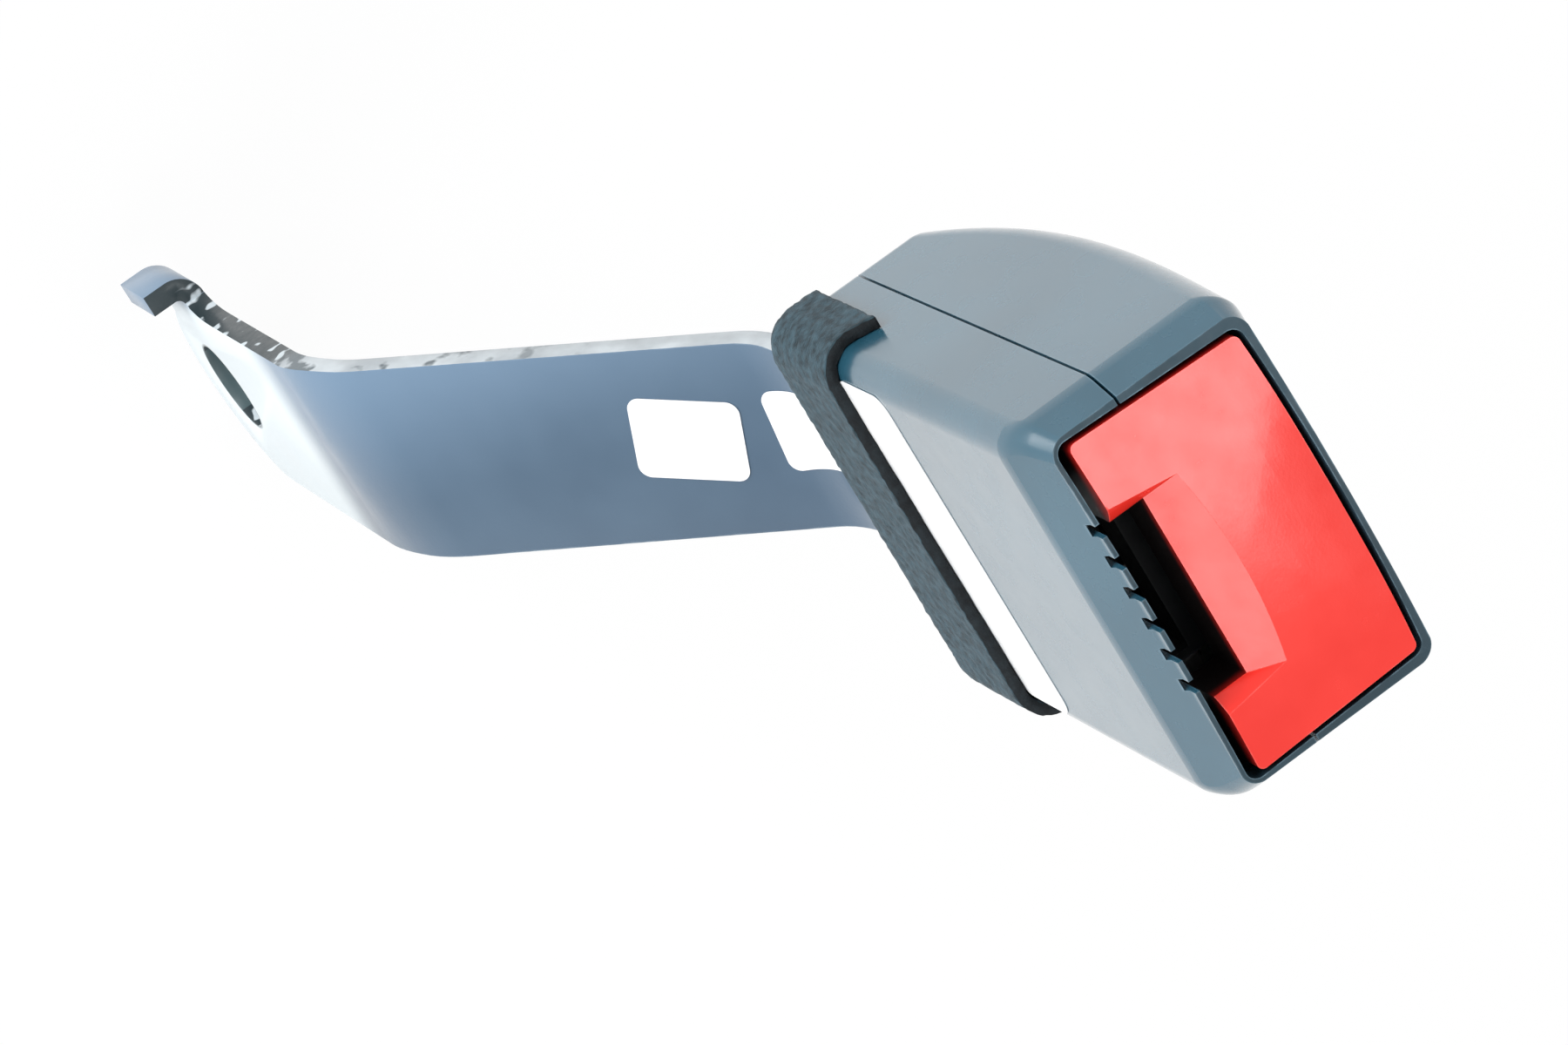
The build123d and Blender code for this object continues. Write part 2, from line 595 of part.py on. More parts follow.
def anchor_lug():
    """The lug bent down at the side of the pad, which keeps it from turning on its bolt."""
    inner = LUG_BEND
    outer = LUG_BEND + STRAP_THICK
    root = PAD_SHIFT - PAD_WIDTH / 2 + STRAP_THICK
    middle_x = -LUG_OUTER + outer
    diagonal = math.sqrt(0.5)
    profile = make_face(Curve() + [
        Polyline((middle_x, STRAP_THICK), (root, STRAP_THICK), (root, 0), (middle_x, 0)),
        ThreePointArc((middle_x, 0), (middle_x - inner * diagonal, inner * (diagonal - 1)), (middle_x - inner, -inner)),
        Polyline((middle_x - inner, -inner), (middle_x - inner, -LUG_REACH), (-LUG_OUTER, -LUG_REACH), (-LUG_OUTER, -inner)),
        ThreePointArc((-LUG_OUTER, -inner), (middle_x - outer * diagonal, outer * diagonal - inner), (middle_x, STRAP_THICK)),
    ])
    return extrude(Pos(0, 0, LUG_LOW) * profile, LUG_HIGH - LUG_LOW)


def lug_flare():
    """The hollow curve by which the pad's edge runs out to the root of the lug."""
    pad_x = PAD_SHIFT - PAD_WIDTH / 2
    root_x = -LUG_OUTER + LUG_BEND + STRAP_THICK
    top = LUG_HIGH + LUG_FLARE
    corner = make_face(Curve() + [
        Polyline((pad_x, top), (pad_x + STRAP_THICK, top), (pad_x + STRAP_THICK, LUG_HIGH), (root_x, LUG_HIGH)),
        Spline((root_x, LUG_HIGH), (pad_x, top), tangents=[(0.6, 0.8), (0, 1)]),
    ])
    return extrude(Plane.XZ * corner, -STRAP_THICK)


def anchor_strap():
    """The cranked strap: anchor pad, lug, oblique web and the end riveted to the frame."""
    strap = strap_ribbon() & strap_outline() & pad_end()
    ends = strap.edges().filter_by(Axis.Y).group_by(Axis.Z)[-1]
    strap = fillet(ends, STRAP_TIP_ROUND)
    strap += anchor_lug() + lug_flare()
    strap -= Rot(90, 0, 0) * Cylinder(ANCHOR_HOLE / 2, 2 * PAD_WIDTH)
    for side in (-1, 1):
        hole = Pos(side * RIVET_X, STRAP_LOW, RIVET_Z) * Rot(90, 0, 0) * Cylinder(RIVET_SHANK / 2, 4 * STRAP_THICK)
        strap -= HEAD * hole
    return strap


def in_head(piece):
    """A piece of the head, moved from the head's frame to the frame of the part."""
    solids = piece if isinstance(piece, list) else [piece]
    return Compound([HEAD * solid for solid in solids])


def write(name, shape):
    """Write one piece to its own file."""
    export_step(shape, f"parts/{name}.step")


case = casing()
write("anchor_strap", anchor_strap())
write("slot_side_shell", in_head(slot_side_shell(case)))
write("button_side_shell", in_head(button_side_shell(case)))
write("release_button", in_head(release_button()))
write("button_spring_left", in_head(button_spring(-1)))
write("button_spring_right", in_head(button_spring(1)))
write("latch_frame", in_head(latch_frame()))
write("frame_rivets", in_head(frame_rivets()))
write("latch_pawl", in_head(latch_pawl()))
write("pawl_pin", in_head(pawl_pin()))
write("pawl_spring", in_head(pawl_spring()))
write("ejector", in_head(ejector()))
write("ejector_spring", in_head(ejector_spring()))
write("spring_seat", in_head(spring_seat()))
write("lock_slide", in_head(lock_slide()))
write("lock_pin", in_head(lock_pin()))
write("tongue_guide", in_head(tongue_guide()))
write("felt_wrap", in_head(felt_wrap()))
write("strap_grommet", in_head(strap_grommet()))
write("frame_pad_left", in_head(frame_pad(-1)))
write("frame_pad_right", in_head(frame_pad(1)))
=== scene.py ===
# %% [markdown]
# # A seat belt buckle on its cranked steel strap
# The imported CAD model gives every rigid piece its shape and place. Blender adds what CAD leaves
# plain: soft edges, finishes, the glued felt strip, the foam blocks, the blank labels, the light
# and the camera. The frame is loaded first, because everything else is placed against it.

import math

import bpy
from mathutils import Matrix, Vector, noise


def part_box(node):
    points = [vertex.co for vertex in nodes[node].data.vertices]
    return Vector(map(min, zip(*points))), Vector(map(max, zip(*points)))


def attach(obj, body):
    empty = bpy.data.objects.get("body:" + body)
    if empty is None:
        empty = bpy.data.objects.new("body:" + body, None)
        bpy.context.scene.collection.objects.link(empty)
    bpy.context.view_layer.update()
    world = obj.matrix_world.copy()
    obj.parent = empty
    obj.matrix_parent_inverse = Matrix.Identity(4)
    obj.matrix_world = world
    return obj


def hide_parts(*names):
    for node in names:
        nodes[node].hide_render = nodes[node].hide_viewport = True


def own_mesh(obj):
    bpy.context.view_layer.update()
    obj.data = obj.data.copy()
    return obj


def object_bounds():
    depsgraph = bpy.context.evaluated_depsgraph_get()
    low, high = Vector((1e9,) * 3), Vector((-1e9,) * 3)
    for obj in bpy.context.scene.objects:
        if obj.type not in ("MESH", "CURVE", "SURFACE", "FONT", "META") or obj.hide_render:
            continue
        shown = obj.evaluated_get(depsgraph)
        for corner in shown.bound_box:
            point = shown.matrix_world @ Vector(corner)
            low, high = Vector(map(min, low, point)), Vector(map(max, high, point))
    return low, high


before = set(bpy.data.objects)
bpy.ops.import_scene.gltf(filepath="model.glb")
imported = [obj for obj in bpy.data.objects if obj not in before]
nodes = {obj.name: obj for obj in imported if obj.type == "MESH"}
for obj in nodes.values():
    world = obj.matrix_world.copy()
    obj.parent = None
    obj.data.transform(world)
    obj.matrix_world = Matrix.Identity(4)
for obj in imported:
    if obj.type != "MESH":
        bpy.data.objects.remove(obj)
cad_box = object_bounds()
MM = 0.001
HEAD = Vector((19.0, 55.0, 200.0)) * MM
print("CAD nodes:", len(nodes), "box:", [round(v, 4) for corner in cad_box for v in corner])

# %% [markdown]
# ## The camera
# The buckle is seen from above its mouth, with the strap running away from the viewer. The
# camera is given as three directions, right, up and back, because a roll about the line of
# sight is then no harder to set than any other turn. A long lens keeps the casing's sides
# nearly parallel.

# %% Camera
CAMERA_PLACE = (-0.2748, -0.1231, 0.8686)
CAMERA_RIGHT = Vector((0.4915, 0.7961, 0.3532)).normalized()
CAMERA_BACK = Vector((-0.3553, -0.1870, 0.9159)).normalized()
SENSOR_WIDTH = 36.0
LENS = 157.4

camera_back = (CAMERA_BACK - CAMERA_BACK.dot(CAMERA_RIGHT) * CAMERA_RIGHT).normalized()
camera_up = camera_back.cross(CAMERA_RIGHT)
bpy.ops.object.camera_add()
camera = bpy.context.object
camera.name = "camera"
camera.matrix_world = Matrix.Translation(CAMERA_PLACE) @ Matrix(
    (CAMERA_RIGHT, camera_up, camera_back)
).transposed().to_4x4()
camera.data.sensor_width = SENSOR_WIDTH
camera.data.lens = LENS
bpy.context.scene.camera = camera
print("camera up:", [round(v, 4) for v in camera_up])

# %% [markdown]
# ## The stage
# A pale floor stands under the lug of the strap, and a white world is all round it. The floor
# keeps the soft shadow of the buckle, but is mostly a plain white glow to the camera and to
# mirror-like surfaces. White comes from that glow and not from more light, so the plastic keeps
# its own colour.

# %% The rays that see white
def link(tree, a, b):
    """Join an output socket to an input socket."""
    tree.links.new(a, b)


def seen_directly(tree):
    """A socket that is 1 for rays from the camera, from gloss and through glass."""
    path = tree.nodes.new("ShaderNodeLightPath")
    first = tree.nodes.new("ShaderNodeMath")
    first.operation = "MAXIMUM"
    second = tree.nodes.new("ShaderNodeMath")
    second.operation = "MAXIMUM"
    link(tree, path.outputs["Is Camera Ray"], first.inputs[0])
    link(tree, path.outputs["Is Glossy Ray"], first.inputs[1])
    link(tree, first.outputs[0], second.inputs[0])
    link(tree, path.outputs["Is Transmission Ray"], second.inputs[1])
    return second.outputs[0]


# %% [markdown]
# The floor is one large plane just under the lowest point of the part. It mixes a matt grey,
# which takes the shadow, with a glow that only direct and mirrored rays see. A backdrop with a
# curved foot would do as well, but it would show as a bend in the glossy pieces.

# %% Floor
FLOOR_SIZE = 8.0
FLOOR_DROP = 0.0003
FLOOR_GREY = 0.92
FLOOR_GLOW = 0.93

bpy.ops.mesh.primitive_plane_add(size=FLOOR_SIZE, location=(0, 0, cad_box[0].z - FLOOR_DROP))
floor = bpy.context.object
floor.name = "floor"
floor_paint = bpy.data.materials.new("pale_floor")
floor_paint.use_nodes = True
tree = floor_paint.node_tree
tree.nodes.clear()
matt = tree.nodes.new("ShaderNodeBsdfDiffuse")
matt.inputs["Color"].default_value = (FLOOR_GREY, FLOOR_GREY, FLOOR_GREY, 1)
glow = tree.nodes.new("ShaderNodeEmission")
share = tree.nodes.new("ShaderNodeMath")
share.operation = "MULTIPLY"
share.inputs[1].default_value = FLOOR_GLOW
mix = tree.nodes.new("ShaderNodeMixShader")
out = tree.nodes.new("ShaderNodeOutputMaterial")
link(tree, seen_directly(tree), share.inputs[0])
link(tree, share.outputs[0], mix.inputs[0])
link(tree, matt.outputs[0], mix.inputs[1])
link(tree, glow.outputs[0], mix.inputs[2])
link(tree, mix.outputs[0], out.inputs[0])
floor.data.materials.append(floor_paint)
print("floor at", round(floor.location.z, 4))

# %% [markdown]
# The world lights everything evenly from all sides, as a white tent does in a studio. Seen
# directly or in a reflection it is plain white, and as a light it is a little dimmer, so that
# pale surfaces keep their shading.

# %% World
WORLD_LEVEL = 0.72

world = bpy.data.worlds.new("white_room")
bpy.context.scene.world = world
world.use_nodes = True
tree = world.node_tree
tree.nodes.clear()
sky = tree.nodes.new("ShaderNodeBackground")
level = tree.nodes.new("ShaderNodeMapRange")
level.inputs["To Min"].default_value = WORLD_LEVEL
level.inputs["To Max"].default_value = 1.0
out = tree.nodes.new("ShaderNodeOutputWorld")
link(tree, seen_directly(tree), level.inputs["Value"])
link(tree, level.outputs[0], sky.inputs["Strength"])
link(tree, sky.outputs[0], out.inputs[0])
bpy.context.scene.view_settings.view_transform = "Standard"
print("world level:", WORLD_LEVEL)

# %% [markdown]
# ## The lamps
# One large soft lamp stands beside the head, off its corner, so that its narrow side and its
# slot side are paler than the front, which only the room lights. Two smaller ones are mirrored in
# the button: one in its bowed top and one in the sloped facet beside the tongue notch.

# %% Lamps
LAMPS = {
    "lamp_beside": ((-1.05, -0.95, 0.45), 1.2, 24.0),
    "lamp_button_top": ((0.22, 0.33, 1.35), 0.45, 4.4),
    "lamp_button_facet": ((0.49, -0.61, 1.09), 0.4, 2.8),
}
AIM = Vector((0.01, 0.04, 0.12))
for name, (place, size, power) in LAMPS.items():
    bpy.ops.object.light_add(type="AREA", location=place)
    lamp = bpy.context.object
    lamp.name = name
    lamp.data.size = size
    lamp.data.energy = power
    lamp.rotation_euler = (AIM - Vector(place)).to_track_quat("-Z", "Y").to_euler()
print("lamps:", len(LAMPS))

# %% [markdown]
# ## Finishes
# Every finish is built the same way: two close tones mixed by a soft cloud, a roughness that
# wanders, a fine grain in the bump, and a paler tone where the surface turns an edge, which is
# partly wear and partly a painted highlight. The patterns read Object coordinates in metres, so
# their sizes are given in millimetres and turned into scales in one place. An image could be
# wrapped round each piece instead, but noise has no seams and stays sharp close up.

# %% Clouds, ranges and mixtures
CLOUD_ROUGH = 0.55


def cloud(tree, place, size, detail=3.0, stretch=(1, 1, 1)):
    """Noise whose lumps are about size millimetres wide; returns its factor socket."""
    mapping = tree.nodes.new("ShaderNodeMapping")
    mapping.inputs["Scale"].default_value = [s / (size * MM) for s in stretch]
    link(tree, place, mapping.inputs["Vector"])
    node = tree.nodes.new("ShaderNodeTexNoise")
    node.inputs["Scale"].default_value = 1.0
    node.inputs["Detail"].default_value = detail
    node.inputs["Roughness"].default_value = CLOUD_ROUGH
    link(tree, mapping.outputs[0], node.inputs["Vector"])
    return node.outputs["Fac"]


def ranged(tree, value, low, high, to_low, to_high):
    """The value moved from one range to another, and held within it."""
    node = tree.nodes.new("ShaderNodeMapRange")
    node.inputs["From Min"].default_value = low
    node.inputs["From Max"].default_value = high
    node.inputs["To Min"].default_value = to_low
    node.inputs["To Max"].default_value = to_high
    link(tree, value, node.inputs["Value"])
    return node.outputs[0]


def mixed(tree, share, first, second):
    """Two colours mixed by share; each is a socket or three numbers."""
    node = tree.nodes.new("ShaderNodeMix")
    node.data_type = "RGBA"
    link(tree, share, node.inputs["Factor"])
    for socket, colour in ((node.inputs[6], first), (node.inputs[7], second)):
        if isinstance(colour, tuple):
            socket.default_value = (*colour, 1)
        else:
            link(tree, colour, socket)
    return node.outputs[2]


def times(tree, a, b):
    """The product of two values."""
    node = tree.nodes.new("ShaderNodeMath")
    node.operation = "MULTIPLY"
    link(tree, a, node.inputs[0])
    link(tree, b, node.inputs[1])
    return node.outputs[0]


def along(tree, place, axis, start, end):
    """0 to 1 along an axis of the part, between two places given in millimetres."""
    parts = tree.nodes.new("ShaderNodeSeparateXYZ")
    link(tree, place, parts.inputs[0])
    node = tree.nodes.new("ShaderNodeMapRange")
    node.interpolation_type = "SMOOTHSTEP"
    node.inputs["From Min"].default_value = start * MM
    node.inputs["From Max"].default_value = end * MM
    link(tree, parts.outputs[axis], node.inputs["Value"])
    return node.outputs[0]


# %% [markdown]
# Wear comes where a surface turns, and the light that a round edge catches is painted there too,
# as a paler tone. A Bevel node gives the normal that the edge would have if it were round, and
# where that leaves the true normal, the paler tone is laid on: part wear, part painted highlight.
# A cloud breaks the line up, because no edge wears evenly.

# %% Worn edges with a painted highlight
BEVEL_SAMPLES = 4
WEAR_HIGHLIGHT_TURN = (0.80, 0.985)
WEAR_HIGHLIGHT_CLOUD = (0.42, 0.62)
WEAR_HIGHLIGHT_LEAST = 0.15


def edge_wear_and_highlight(tree, place, radius, patch):
    """1 where the surface turns a sharp edge within radius millimetres, broken up by a cloud."""
    soft = tree.nodes.new("ShaderNodeBevel")
    soft.samples = BEVEL_SAMPLES
    soft.inputs["Radius"].default_value = radius * MM
    true = tree.nodes.new("ShaderNodeNewGeometry")
    dot = tree.nodes.new("ShaderNodeVectorMath")
    dot.operation = "DOT_PRODUCT"
    link(tree, soft.outputs[0], dot.inputs[0])
    link(tree, true.outputs["Normal"], dot.inputs[1])
    turned = ranged(tree, dot.outputs["Value"], *WEAR_HIGHLIGHT_TURN, 1.0, 0.0)
    broken = ranged(tree, cloud(tree, place, patch), *WEAR_HIGHLIGHT_CLOUD, WEAR_HIGHLIGHT_LEAST, 1.0)
    return times(tree, turned, broken)


# %% [markdown]
# One function then makes a whole finish from these parts. What is the same all over the
# surface, such as the coat or the sheen, is set on the shader's own socket, where an export can
# read it.

# %% A whole finish
TONE_SPREAD = (0.35, 0.65)
ROUGH_SPREAD = (0.3, 0.7)
ROUGH_DETAIL = 5.0
ROUGH_FINER = 4
GRAIN_DETAIL = 2.0
BUMP_STRENGTH = 0.6
SHEEN_TINT = (0.80, 0.92, 1.0, 1.0)
SHEEN_ROUGH = 0.4
PLASTIC_IOR = 1.5


def finish(name, dark, light, rough, patch=14.0, grain=0.35, depth=0.02, metal=0.0,
           wear_and_highlight=None, wear_and_highlight_radius=0.35, wear_and_highlight_patch=5.0, coat=0.0, coat_rough=0.2,
           sheen=0.0, stretch=(1, 1, 1), over=None):
    """A material with a cloud between two tones, fine grain, and edges made paler by wear and by
    a painted highlight.

    over(tree, place, tone) may lay one more pattern over the tone."""
    made = bpy.data.materials.new(name)
    made.use_nodes = True
    tree = made.node_tree
    shader = tree.nodes["Principled BSDF"]
    place = tree.nodes.new("ShaderNodeTexCoord").outputs["Object"]
    tones = ranged(tree, cloud(tree, place, patch), *TONE_SPREAD, 0, 1)
    tone = mixed(tree, tones, dark, light)
    if wear_and_highlight:
        tone = mixed(tree, edge_wear_and_highlight(tree, place, wear_and_highlight_radius, wear_and_highlight_patch), tone, wear_and_highlight)
    if over:
        tone = over(tree, place, tone)
    link(tree, tone, shader.inputs["Base Color"])
    wander = cloud(tree, place, patch / ROUGH_FINER, detail=ROUGH_DETAIL, stretch=stretch)
    link(tree, ranged(tree, wander, *ROUGH_SPREAD, *rough), shader.inputs["Roughness"])
    bump = tree.nodes.new("ShaderNodeBump")
    bump.inputs["Strength"].default_value = BUMP_STRENGTH
    bump.inputs["Distance"].default_value = depth * MM
    height = cloud(tree, place, grain, detail=GRAIN_DETAIL, stretch=stretch)
    link(tree, height, bump.inputs["Height"])
    link(tree, bump.outputs[0], shader.inputs["Normal"])
    shader.inputs["Metallic"].default_value = metal
    shader.inputs["Coat Weight"].default_value = coat
    shader.inputs["Coat Roughness"].default_value = coat_rough
    shader.inputs["Sheen Weight"].default_value = sheen
    shader.inputs["Sheen Roughness"].default_value = SHEEN_ROUGH
    shader.inputs["Sheen Tint"].default_value = SHEEN_TINT
    shader.inputs["IOR"].default_value = PLASTIC_IOR
    made.use_fake_user = True
    return made


# %% [markdown]
# Three finishes have a pattern of their own laid over the tone. The walls of the button grow
# dark with painted shade where they go down into the mouth. On the strap, light and shade are
# painted: one side of its coat is lighter, its anchor pad pales to a painted highlight, and the
# bore of the bolt hole gets painted shade. Its sheared edge is pale along the web, partly as a
# painted highlight, with darker dashes; near the anchor it is dark with bright chips.

# %% Patterns laid over a tone
SHADE_FROM = 0.2
SHADE_FULL = 2.6
PAINTED_SHADE_RED = (0.004, 0.001, 0.001)
# The strap's painted light and shade: a lighter side, a highlight on the pad, shade in the bore.
HALF_STRAP = 14.0
PAINTED_LIT_SIDE = (0.145, 0.235, 0.345)
PAD_HIGHLIGHT_FULL = 26.0
PAD_HIGHLIGHT_FROM = 42.0
LUG_SIDE = (-16.0, -12.0)
PAINTED_PAD_HIGHLIGHT = (0.70, 0.79, 0.83)
HOLE_RADIUS = 6.5
BORE_RING = (0.1, 0.5)
BORE_PAINTED_SHADE = (0.06, 0.10, 0.11)
DASH_SIZE = 5.0
DASH_CLOUD = (0.56, 0.64)
DASH_MOST = 0.85
DASH_RUN = (84.0, 66.0)
DASH_TONE = (0.045, 0.070, 0.085)
CHIP_SIZE = 2.0
CHIP_DETAIL = 0.5
CHIP_CLOUD = (0.60, 0.66)
CHIP_SIDE = (-16.9, -16.2)
DARK_RUN = (46.0, 40.0)
DARK_EDGE = (0.012, 0.026, 0.032)
BRIGHT_CHIP = (0.55, 0.62, 0.66)


def gathered_shade(tree, place, tone):
    """The tone, fading to a painted shade of near black below the front of the head."""
    front = HEAD.z / MM
    depth = along(tree, place, "Z", front - SHADE_FROM, front - SHADE_FULL)
    return mixed(tree, depth, tone, PAINTED_SHADE_RED)


def strap_painted_light(tree, place, tone):
    """The strap's coat with painted light: paler towards one edge, a painted highlight on the
    anchor pad, and painted shade in the bore of the bolt hole.
    """
    # Painted light: one side of the coat is paler than the other.
    lit_side = along(tree, place, "X", HALF_STRAP, -HALF_STRAP)
    tone = mixed(tree, lit_side, tone, PAINTED_LIT_SIDE)
    # A painted highlight on the anchor pad, paling it almost to white.
    pad_highlight = along(tree, place, "Z", PAD_HIGHLIGHT_FROM, PAD_HIGHLIGHT_FULL)
    inside = along(tree, place, "X", *LUG_SIDE)
    tone = mixed(tree, times(tree, pad_highlight, inside), tone, PAINTED_PAD_HIGHLIGHT)
    # Painted shade in the bore of the bolt hole.
    flat = tree.nodes.new("ShaderNodeVectorMath")
    flat.operation = "MULTIPLY"
    flat.inputs[1].default_value = (1, 0, 1)
    link(tree, place, flat.inputs[0])
    away = tree.nodes.new("ShaderNodeVectorMath")
    away.operation = "LENGTH"
    link(tree, flat.outputs[0], away.inputs[0])
    near, far = ((HOLE_RADIUS + ring) * MM for ring in BORE_RING)
    bore_shade = ranged(tree, away.outputs["Value"], near, far, 1, 0)
    return mixed(tree, bore_shade, tone, BORE_PAINTED_SHADE)


def chipped_edge(tree, place, tone):
    """The sheared edge: darker dashes along the web, dark with bright chips near the anchor."""
    dashes = ranged(tree, cloud(tree, place, DASH_SIZE), *DASH_CLOUD, 0.0, DASH_MOST)
    dashed = times(tree, dashes, along(tree, place, "Z", *DASH_RUN))
    tone = mixed(tree, dashed, tone, DASH_TONE)
    specks = cloud(tree, place, CHIP_SIZE, detail=CHIP_DETAIL)
    chips = ranged(tree, specks, *CHIP_CLOUD, 0.0, 1.0)
    chipped = times(tree, chips, along(tree, place, "X", *CHIP_SIDE))
    near = along(tree, place, "Z", *DARK_RUN)
    dark = mixed(tree, chipped, DARK_EDGE, BRIGHT_CHIP)
    return mixed(tree, near, tone, dark)


# %% [markdown]
# The casing is moulded in a blue-grey plastic with a faint eroded grain, the button in a
# saturated red of the same kind; the button's walls, where the mouth goes down between them,
# are a darker red, which is painted shade. The strap is steel under a blue-grey coat with painted
# light on it: its anchor end pales to a painted highlight, one side of it is lighter, and its
# edges are paler, partly by wear and partly as a painted highlight. The works inside are
# zinc-plated sheet, spring steel and black plastic.

# %% The finishes of the buckle
casing_plastic = finish("casing_plastic", (0.016, 0.080, 0.125), (0.024, 0.102, 0.155),
                        (0.22, 0.30), patch=22, grain=0.30, depth=0.02,
                        wear_and_highlight=(0.10, 0.20, 0.27), wear_and_highlight_radius=0.4,
                        coat=1.0, coat_rough=0.16)
# A darker, rougher casing finish for the rim and the mouth: painted shade.
rim_painted_shade = finish("rim_painted_shade", (0.008, 0.030, 0.045), (0.014, 0.045, 0.066),
                    (0.50, 0.62), patch=9, grain=0.30, depth=0.03,
                    wear_and_highlight=(0.16, 0.27, 0.34), wear_and_highlight_radius=0.3, wear_and_highlight_patch=2.5)
red_plastic = finish("red_plastic", (0.82, 0.027, 0.017), (0.88, 0.035, 0.023),
                     (0.20, 0.28), patch=16, grain=0.35, depth=0.015,
                     wear_and_highlight=(0.98, 0.20, 0.17), wear_and_highlight_radius=0.3)
# A darker red for the button's walls, fading to near black: painted shade.
red_walls_painted_shade = finish("red_walls_painted_shade", (0.30, 0.006, 0.004), (0.36, 0.008, 0.006),
                   (0.40, 0.50), patch=16, grain=0.35, depth=0.015,
                   wear_and_highlight=(0.50, 0.02, 0.015), wear_and_highlight_radius=0.3, over=gathered_shade)
black_plastic = finish("black_plastic", (0.010, 0.012, 0.014), (0.018, 0.021, 0.024),
                       (0.42, 0.58), patch=9, grain=0.30, depth=0.02,
                       wear_and_highlight=(0.05, 0.055, 0.06), wear_and_highlight_radius=0.2)
coated_steel = finish("coated_steel", (0.052, 0.102, 0.165), (0.072, 0.130, 0.200),
                      (0.30, 0.42), patch=26, grain=0.5, depth=0.02,
                      wear_and_highlight=(0.45, 0.54, 0.60), wear_and_highlight_radius=0.45, wear_and_highlight_patch=3.0,
                      coat=0.5, coat_rough=0.22, over=strap_painted_light)
# The strap's edges: paler, partly sheared steel and partly a painted highlight.
sheared_edge_and_highlight = finish("sheared_edge_and_highlight", (0.38, 0.42, 0.45), (0.55, 0.60, 0.63),
                      (0.35, 0.50), patch=6, grain=0.4, depth=0.03, coat=0.3,
                      over=chipped_edge)
plated_steel = finish("plated_steel", (0.52, 0.53, 0.54), (0.62, 0.62, 0.60),
                      (0.26, 0.42), patch=7, grain=0.5, depth=0.01, metal=1.0,
                      wear_and_highlight=(0.75, 0.75, 0.74), stretch=(1, 6, 1))
spring_steel = finish("spring_steel", (0.30, 0.31, 0.33), (0.42, 0.42, 0.43),
                      (0.22, 0.36), patch=3, grain=0.25, depth=0.008, metal=1.0)
print("finishes:", sum(1 for made in bpy.data.materials if made.use_fake_user))

# %% [markdown]
# The works inside keep their CAD shapes, because little of them shows through the slot. They
# only change their material.

# %% Dress the works inside
DRESS = {
    "plated_steel": (plated_steel, ["latch_frame", "frame_rivets", "latch_pawl", "pawl_pin",
                                    "lock_slide", "lock_pin"]),
    "spring_steel": (spring_steel, ["pawl_spring"]),
    "black_plastic": (black_plastic, ["ejector", "spring_seat", "tongue_guide",
                                      "strap_grommet"]),
}
for slot, (made, names) in DRESS.items():
    for name in names:
        nodes[name].data.materials.clear()
        nodes[name].data.materials.append(made)
print("dressed:", sum(len(names) for made, names in DRESS.values()))

# %% [markdown]
# ## The pieces that are seen
# A CAD edge is a perfect corner. A moulding's edges are soft, and so are those of a stamped
# strap that was tumbled and coated, and it is the soft edge that catches the light. Each
# piece that is seen is therefore copied, its loose triangles merged into clean faces, and its
# sharp edges rounded by a bevel. An operator acts on all that is selected, so first come three
# helpers that keep to one piece at a time.

# %% One piece at a time
def only(piece):
    """Deselect everything and make this piece the active one."""
    bpy.ops.object.select_all(action="DESELECT")
    piece.select_set(True)
    bpy.context.view_layer.objects.active = piece


def edit_all(piece):
    """Open the mesh of the piece with all of it selected."""
    only(piece)
    bpy.ops.object.mode_set(mode="EDIT")
    bpy.ops.mesh.select_all(action="SELECT")


def apply_modifier(piece, kind, **values):
    """Add a modifier with these values, and apply it."""
    only(piece)
    modifier = piece.modifiers.new(kind.lower(), kind)
    for key, value in values.items():
        setattr(modifier, key, value)
    bpy.ops.object.modifier_apply(modifier=modifier.name)


# %% [markdown]
# Real soft edges come from the radius of the mould or from tumbling. They could be picked and
# rounded one by one, but a Bevel modifier limited by angle finds them all, once the loose
# triangles are merged. A Weighted Normal modifier then keeps the wide faces flat in the light.

# %% Copies with soft edges
MERGE = 0.004
FLAT_ANGLE = 0.15
EDGE_SEGMENTS = 2
FLAT_WEIGHT = 60


def merged_copy(node, name):
    """A new piece with the mesh of a CAD node, its loose triangles merged."""
    piece = bpy.data.objects.new(name, nodes[node].data.copy())
    piece.data.name = name
    bpy.context.collection.objects.link(piece)
    piece.data.materials.clear()
    only(piece)
    bpy.ops.mesh.customdata_custom_splitnormals_clear()
    edit_all(piece)
    bpy.ops.mesh.remove_doubles(threshold=MERGE * MM)
    bpy.ops.object.mode_set(mode="OBJECT")
    return piece


def soften(piece, width, sharp=30.0, crease=30.0, flat_walls=True):
    """Flat faces are joined, the sharp edges rounded, and edges under crease shaded smooth."""
    edit_all(piece)
    bpy.ops.mesh.dissolve_limited(angle_limit=math.radians(FLAT_ANGLE))
    bpy.ops.object.mode_set(mode="OBJECT")
    apply_modifier(piece, "BEVEL", width=width * MM, segments=EDGE_SEGMENTS,
                   limit_method="ANGLE",
                   angle_limit=math.radians(sharp), use_clamp_overlap=True,
                   miter_outer="MITER_ARC")
    only(piece)
    bpy.ops.object.shade_smooth_by_angle(angle=math.radians(crease))
    if flat_walls:
        apply_modifier(piece, "WEIGHTED_NORMAL", keep_sharp=True, weight=FLAT_WEIGHT)


def wear_it(piece, node, body, made):
    """Put the piece in its node's place, on its body, with its finish."""
    piece.data.materials.append(made)
    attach(piece, body)
    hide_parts(node)
    print(piece.name, "faces:", len(piece.data.polygons))


